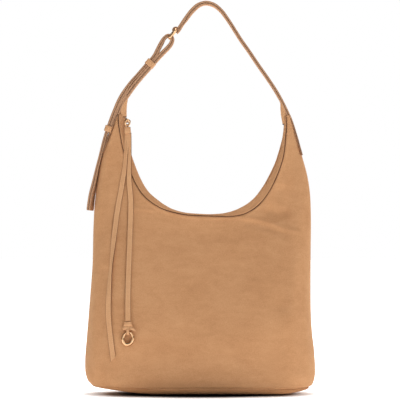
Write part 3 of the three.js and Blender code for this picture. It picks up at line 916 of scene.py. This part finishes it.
def mouth_strip(angles, corners):
    """A strip along the mouth; corners are (drop below the ridge, y)."""
    drops, depths = np.array(corners, float).T
    shape = Shape()
    shape.loft(around(angles[:, None], ridge_radius(angles)[:, None] + drops, depths))
    return shape


def zip_chain():
    angles = np.linspace(*ZIP_ARC, 240)
    for side, name in SIDES:
        near, far = side * 0.3, side * 6.3
        tape = mouth_strip(angles, [(6.7, near), (6.65, far), (7.2, far), (7.2, near)])
        place(tape.build(f"zip_cloth_{name}", [zip_cloth]), "bag", "zip_tape", f"zip_tape_{name}")
        place(teeth(side, name), "bag", "gold_metal", f"zip_teeth_{name}")
    corners = [
        (4.0, -2.4), (3.7, -1.6), (3.7, 1.6), (4.0, 2.4), (6.5, 2.8), (6.5, 1), (6.5, -1), (6.5, -2.8),
    ]
    for name, start, end in ZIP_STOPS:
        stop = mouth_strip(np.linspace(start, end, 5), corners)
        place(stop.build(f"zip_end_{name}", [gold]), "bag", "gold_metal", f"zip_stop_{name}")


def teeth(side, name):
    """Metal teeth, a pitch apart and half a pitch out of step with the other row."""
    angles = np.linspace(*ZIP_ARC, 2000)
    run = travelled(around(angles, ridge_radius(angles) + 5.4))
    first = 0.25 if side < 0 else 0.75
    at = np.arange(TOOTH_PITCH * first, run[-1], TOOTH_PITCH)
    step = np.degrees(1.0 / (MOUTH_RADIUS + 5.4)) * 0.95
    outline = [(3.4, 1.0, 1.0), (1.6, 1.0, 1.0), (0.6, 0.8, 0.86), (-0.3, 0.62, 0.7)]
    shape = Shape()
    for angle in np.interp(at, run, angles):
        rings = []
        for y, wide, tall in outline:
            a = angle + np.array([-1, -1, 1, 1]) * step * wide / 1.6
            r = ridge_radius(angle) + 5.45 + np.array([-0.85, 0.85, 0.85, -0.85]) * tall
            rings.append(around(a, r, side * y))
        shape.loft(rings)
    return shape.build(f"teeth_{name}", [gold], smooth=False)


walls()
base()
for way, label in SIDES:
    facing(way, label)
    painted_seam_shade(way, label)
zip_chain()


# ---- shoulder strap
# The middle lines of the strap's parts from the anchors onwards, as (x, z).
UPPER_STRAP = [
    (110.4, 439.6), (99.6, 456), (86.4, 474.7), (71.5, 496.8), (59.9, 513.2), (49, 530.4), (40.8, 543),
    (31.6, 555.2), (21, 563.8), (9.6, 566.8), (-1.2, 564), (-11.4, 555.2), (-20.2, 543.9), (-30.6, 529.4),
]
RIGHT_ANCHOR = [
    (149, 345), (145.9, 356), (142.9, 367), (139.6, 378), (136.2, 389), (132.2, 400),
    (126.6, 411.5), (119.8, 423.4),
]
LEFT_ANCHOR = [
    (-140.8, 350), (-137.2, 360.5), (-133.4, 371), (-129.6, 381), (-126, 391.5), (-122.4, 402),
    (-117.4, 413), (-110.6, 424.4),
]
LOWER_STRAP = [
    (-103, 435.7), (-95.2, 446.6), (-85.6, 458.3), (-73.8, 471.7), (-62, 485.2), (-53, 494.8),
    (-46.4, 501.4), (-41.4, 507.6), (-39.4, 513.6), (-41.4, 518), (-46, 519.2), (-50.6, 516),
    (-56, 508), (-60.6, 499.2), (-66.1, 488.8), (-77.8, 475.3), (-89.5, 461.8), (-98.6, 451.7),
    (-106.4, 441.7), (-113.2, 431.6), (-118.6, 421.2),
]
TAIL = [
    (-123.2, 410), (-127.5, 399), (-131.5, 387.6), (-135.1, 376.6), (-139.1, 362.6), (-143, 346.6),
    (-147.6, 327.6), (-152.6, 304.6), (-156.6, 286.6), (-159.4, 264.6),
]
BAR_UPPER = np.array([-34.8, 0, 527.0])
BAR_LOWER = np.array([-43.5, 0, 516.0])
FOLDED_END = [(-33.6, 523.6), (-30.9, 526.2), (-27.2, 531.8), (-22.4, 539.2), (-19.2, 543.6)]
STRAP_FINISHES = [suede_flat, edge_paint, seam_shade]


def flat_strap(shape, line, left, right, twist=0.0):
    """A leather strap seen edge-on: left and right are its faces' distances from the line.

    Where it is thick, two layers meet in a groove along its painted edges.
    """
    along = unit(np.gradient(line, axis=0))
    side = columns(-along[:, 2], 0, along[:, 0])
    w = STRAP_WIDTH / 2
    groove = 0.55 * smoothstep(2.6, 3.6, left + right)
    # Half a face: y, whether it is measured from the face or the middle, height and share of groove.
    over = [
        (w, 0, 0.3, 1), (w, 0, 0.55, 0), (w, 1, -0.8, 0), (w - 0.25, 1, -0.28, 0),
        (w - 0.85, 1, 0, 0), (w - 2.2, 1, 0.08, 0), (w / 2, 1, 0, 0), (0, 1, -0.05, 0),
    ]
    top = [(-y, face, off, deep) for y, face, off, deep in over]
    top += reversed(over[:-1])
    corners = [(y, left if face else (left - right) / 2, off, deep) for y, face, off, deep in top]
    corners += [
        (y, -right if face else (left - right) / 2, -off, deep) for y, face, off, deep in reversed(top)
    ]
    turn = np.broadcast_to(twist, left.shape)
    rows = []
    for edge, level, off, deep in corners:
        y = edge - np.sign(edge) * deep * groove
        h = level + off
        aside = h * np.cos(turn) + y * np.sin(turn)
        depth = y * np.cos(turn) - h * np.sin(turn)
        rows.append(line + aside[:, None] * side + depth[:, None] * (0, 1, 0))
    # The middle face of each edge, in the groove, takes seam_shade: a painted shade line between the
    # layers.
    half = [1] * 4 + [0] * 6 + [1] * 4 + [2]
    shape.loft(np.stack(rows, axis=1), half * 2)
    return side


def strap_stitches(shape, line, side, offset, facing_out, start=0.0):
    """Two rows of stitches on one face of the strap, from a share of its length onwards."""
    sewn = slice(int(start * len(line)), len(line))
    across = np.broadcast_to((0, 1.0, 0), line.shape)
    up = facing_out * side
    for y in (-1, 1):
        row = line + offset[:, None] * up + (0, y * (STRAP_WIDTH / 2 - 2.4), 0)
        shape.stitches(row[sewn], across[sewn], up[sewn], pitch=3.6, long=2.6, thick=0.2, slot=1)


def bend_with_strap(made, *nodes):
    """Bakes the piece's placing into its points and hides the CAD nodes that it stands for."""
    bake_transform(made)
    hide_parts(*nodes)


def strap_right():
    """The upper strap: two layers at the anchor, then one up and over to the buckle's upper bar."""
    line = in_plan(spline(RIGHT_ANCHOR + UPPER_STRAP, 420))
    x, z = line[:, 0], line[:, 2]
    run = np.linspace(0, length(line), len(line))
    merged = smoothstep(62, 92, run)
    crest = bump(x, 12, 22)
    to_horn = bump(z, 405, 11) * smoothstep(430, 415, z)
    past_crest = smoothstep(8, -10, x) * smoothstep(530, 545, z)
    left = 1.4 + 1.1 * merged + 0.4 * crest + 0.9 * past_crest + 2.6 * to_horn
    right = 1.2 + 1.3 * merged + 0.4 * crest + 0.6 * past_crest
    shape = Shape()
    side = flat_strap(shape, line, left, right)
    strap_stitches(shape, line, side, right - 0.08, -1.0)
    strap_stitches(shape, line, side, left - 0.05, 1.0, start=0.16)
    folded_end = [(arc(BAR_UPPER, 3.6, 215, -70, 30), 1.6), (spline(FOLDED_END, 30), 1.9)]
    for turned, half in folded_end:
        flat_strap(shape, in_plan(turned), np.full(len(turned), half), np.full(len(turned), half))
    made = shape.build("strap_right", STRAP_FINISHES)
    bend_with_strap(made, "strap_upper", "anchor_right_outer")


def strap_left():
    """The lower strap: up from the horn, round the buckle's lower bar, and down to its free end."""
    line = in_plan(spline(LEFT_ANCHOR + LOWER_STRAP + TAIL, 760))
    x, z = line[:, 0], line[:, 2]
    total = length(line)
    run = np.linspace(0, total, len(line))
    share = run / total
    merged = smoothstep(58, 88, run)
    over_bar = bump(x, -43, 9) * smoothstep(500, 514, z)
    to_horn = bump(z, 407, 9) * (run < 100)
    inner_pass = merged * smoothstep(0.37, 0.27, share)
    outer_pass = smoothstep(0.45, 0.55, share)
    tail = smoothstep(0.66, 0.75, share)
    end_flare = smoothstep(330, 300, z) * tail
    beside_horn = outer_pass * smoothstep(450, 435, z) * smoothstep(375, 392, z)
    in_loop = smoothstep(478, 490, z) * smoothstep(517, 508, z)
    end = 0.5 * smoothstep(total - 3, total, run)
    left = 1.2 + 0.9 * merged + 1.6 * inner_pass - 0.8 * outer_pass + 1.2 * end_flare
    left += 1.9 * beside_horn + 1.2 * in_loop - end
    right = 1.5 + 1.7 * merged + 0.1 * tail - 0.8 * over_bar + 2.8 * to_horn - end
    twist = np.radians(15) * smoothstep(388, 320, z) * smoothstep(400, 500, run)
    shape = Shape()
    side = flat_strap(shape, line, left, right, twist)
    strap_stitches(shape, line, side, left - 0.05, 1.0)
    strap_stitches(shape, line, side, right - 0.05, -1.0, start=0.1)
    made = shape.build("strap_left", STRAP_FINISHES)
    bend_with_strap(made, "strap_lower", "strap_tail", "anchor_left_outer")


# The strap's inner leather layers over the horns: rows are (z, left x, right x, half width).
TABS = {
    "left": [
        (400.8, -115.4, -106.9, 9.2), (401.6, -116, -106.4, 9.7), (412, -116.6, -106.4, 9.8),
        (420, -115.2, -105.8, 9.8), (427, -111.4, -104.6, 9.8), (432, -107.6, -103.4, 9.7),
    ],
    "right": [
        (390.2, 121.2, 125.8, 9.2), (391, 120.8, 126.2, 9.7), (404, 118.4, 126.6, 9.8),
        (412, 117.8, 125, 9.8), (421, 117.6, 121.6, 9.8), (428, 114.6, 117.4, 9.7),
    ],
}


def tab(name, rows):
    z, *values = np.array(rows, float).T
    heights = np.linspace(z[0], z[-1], 40)
    rings = []
    for height, left, right, half in zip(heights, *(np.interp(heights, z, value) for value in values)):
        x, y = rounded_ring((right - left) / 2, half, 4.0, 44).T
        rings.append(columns(x + (left + right) / 2, y, height))
    shape = Shape()
    shape.loft(rings)
    # A dark tube round the tab's lower end: painted shade under its edge.
    shape.tube(rings[0] + (0, 0, 0.1), 0.6, sides=8, slot=1, closed=True)
    bend_with_strap(shape.build(f"tab_{name}", [lace_suede, seam_shade]), f"anchor_{name}_inner")


KEEPER_WALL = 1.7
KEEPER_LONG = 9.0
KEEPER_CORNER = 1.1


def keeper(name, centre, tilt, inner, body):
    """A leather band round the strap: inner is its half thickness and half width."""
    thick, wide = (size - KEEPER_CORNER for size in inner)
    outline = []
    for sx, sy, start in ((1, 1, 0), (-1, 1, 90), (-1, -1, 180), (1, -1, 270)):
        for a in np.radians(np.linspace(start, start + 90, 7)):
            outline.append((sx * thick + KEEPER_CORNER * np.cos(a), sy * wide + KEEPER_CORNER * np.sin(a)))
    outline = np.array(outline)
    away = along_ring(outline)
    away = columns(away[:, 1], -away[:, 0])
    half, wall = KEEPER_LONG / 2, KEEPER_WALL
    top = [(wall + 0.12, half - 1.5), (wall, half - 0.45), (wall * 0.75, half), (0.05, half)]
    section = [(off, -z) for off, z in reversed(top)] + [(wall, 0), *top, (0.0, 0)]
    rings = [[(*(spot + out * off), z) for off, z in section] for spot, out in zip(outline, away)]
    shape = Shape()
    slots = [1, 1, 0, 0, 0, 0, 1, 1, 0, 0]
    shape.loft(np.array(rings) @ leaning(tilt).T + centre, slots, closed=True)
    made = shape.build(f"keeper_band_{name}", [trim_leather, edge_paint])
    place(made, body, "edged_leather", f"keeper_{name}")


def buckle():
    """A wire frame with rounded corners, thicker where it forms the two bars."""
    rail = STRAP_WIDTH / 2 + 3
    bend = 2.2
    bars = (BAR_UPPER, BAR_LOWER)
    corners = [bars[k] + (0, y, 0) for k, y in ((0, -rail), (1, -rail), (1, rail), (0, rail))]
    line = []
    for k, at in enumerate(corners):
        after = corners[(k + 1) % 4]
        into, out = unit(corners[k - 1] - at), unit(after - at)
        for t in np.linspace(0, 1, 9):
            line.append(at + bend * ((1 - t) ** 2 * into + t**2 * out))
        gap = after - bend * out - line[-1]
        for t in np.linspace(0, 1, 8)[1:-1]:
            line.append(at + bend * out + t * gap)
    line = np.array(line)
    from_bar = np.minimum(*[np.linalg.norm((line - bar)[:, ::2], axis=1) for bar in bars])
    shape = Shape()
    shape.tube(line, 1.6 + 0.8 * bump(from_bar, 0, 3), sides=16, closed=True)
    place(shape.build("buckle_gold", [gold]), "strap", "gold_metal", "buckle_frame")


strap_right()
strap_left()
for label, rows in TABS.items():
    tab(label, rows)
keeper("upper", (-71.9, 0, 478.5), math.atan2(23.6, 27), (5.25, 10.3), "keeper")
keeper("lower", (-133.0, 0, 383.6), math.atan2(3.6, 11), (3.5, 10.3), "bag")
buckle()


# ---- CAD nodes that are kept as they are
KEPT = {"slip_pocket": lining_cotton, "zip_slider": gold, "buckle_prong": gold}
for node_name, finish in KEPT.items():
    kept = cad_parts[node_name]
    kept.data.materials.clear()
    kept.data.materials.append(finish)


# ---- studio
FLOOR_RADIUS = 9000.0
WORLD_LIGHT = 0.21
# Name, place and aim in metres, size in metres and power in watts.
LIGHTS = [
    ("key", (1.0, -2.6, 1.1), (0, 0, 0.18), 1.3, 9.8),
    ("fill", (-0.9, -2.2, 0.2), (0, 0, 0.04), 1.0, 4.8),
    ("top", (0.1, 0.25, 1.9), (0, 0, 0.2), 1.2, 24),
    ("side", (1.9, 0.1, 0.7), (0, 0, 0.25), 1.2, 4),
    ("back_left", (-1.2, 2.5, 1.3), (0, 0, 0.28), 1.3, 9),
    ("back_right", (1.3, 2.4, 1.0), (0, 0, 0.28), 1.3, 9),
]


def studio():
    """A white floor with a painted contact shadow: its colour goes dark in an oval under the bag."""
    paint = Paint("studio_floor_painted_shadow", Roughness=0.9, Specular_IOR_Level=0.1)
    oval = {0: paint.place, 1: (9.3, 14.5, 0)}
    under = paint.node("ShaderNodeVectorMath", oval, operation="MULTIPLY").outputs["Vector"]
    reach = paint.node("ShaderNodeVectorMath", {0: under}, operation="LENGTH").outputs["Value"]
    # Painted contact shadow: the floor's colour is near black at the bag and white further out.
    stops = [(0.42, srgb(34, 34, 36)), (0.5, srgb(110, 110, 112)), (0.62, srgb(246, 246, 246))]
    paint.link(paint.ramp(paint.math("MULTIPLY", reach, 0.5), stops), "Base Color")
    paint.shader.inputs["Emission Color"].default_value = (1, 1, 1, 1)
    glow = paint.node("ShaderNodeMapRange", {"Value": reach, "From Min": 1.25, "From Max": 1.85})
    paint.link(glow.outputs["Result"], "Emission Strength")
    turn = full_turn(64)
    x, y = FLOOR_RADIUS * np.cos(turn), FLOOR_RADIUS * np.sin(turn)
    points = columns(x, y, -FLOOR_DROP)
    mesh = bpy.data.meshes.new("floor")
    mesh.from_pydata((points * MM).tolist(), [], [tuple(range(len(points)))])
    mesh.materials.append(paint.material)
    put_in_scene("floor", mesh)


def soft_light(name, spot, aim, size, power):
    data = bpy.data.lights.new(name, "AREA")
    data.shape = "DISK"
    data.size = size
    data.energy = power
    made = put_in_scene(name, data)
    made.location = spot
    made.rotation_euler = (Vector(aim) - Vector(spot)).to_track_quat("-Z", "Y").to_euler()


def lights():
    """A dim white world that looks pure white behind the bag, and soft lights all round."""
    world = bpy.data.worlds.new("world")
    world.use_nodes = True
    tree = world.node_tree
    dim = tree.nodes["Background"]
    white = tree.nodes.new("ShaderNodeBackground")
    for sky, strength in ((dim, WORLD_LIGHT), (white, 1.0)):
        sky.inputs["Color"].default_value = (1, 1, 1, 1)
        sky.inputs["Strength"].default_value = strength
    seen = tree.nodes.new("ShaderNodeLightPath")
    mix = tree.nodes.new("ShaderNodeMixShader")
    tree.links.new(seen.outputs["Is Camera Ray"], mix.inputs[0])
    tree.links.new(dim.outputs["Background"], mix.inputs[1])
    tree.links.new(white.outputs["Background"], mix.inputs[2])
    tree.links.new(mix.outputs["Shader"], tree.nodes["World Output"].inputs["Surface"])
    bpy.context.scene.world = world
    for light in LIGHTS:
        soft_light(*light)
    bpy.context.scene.view_settings.view_transform = "Standard"


studio()
lights()
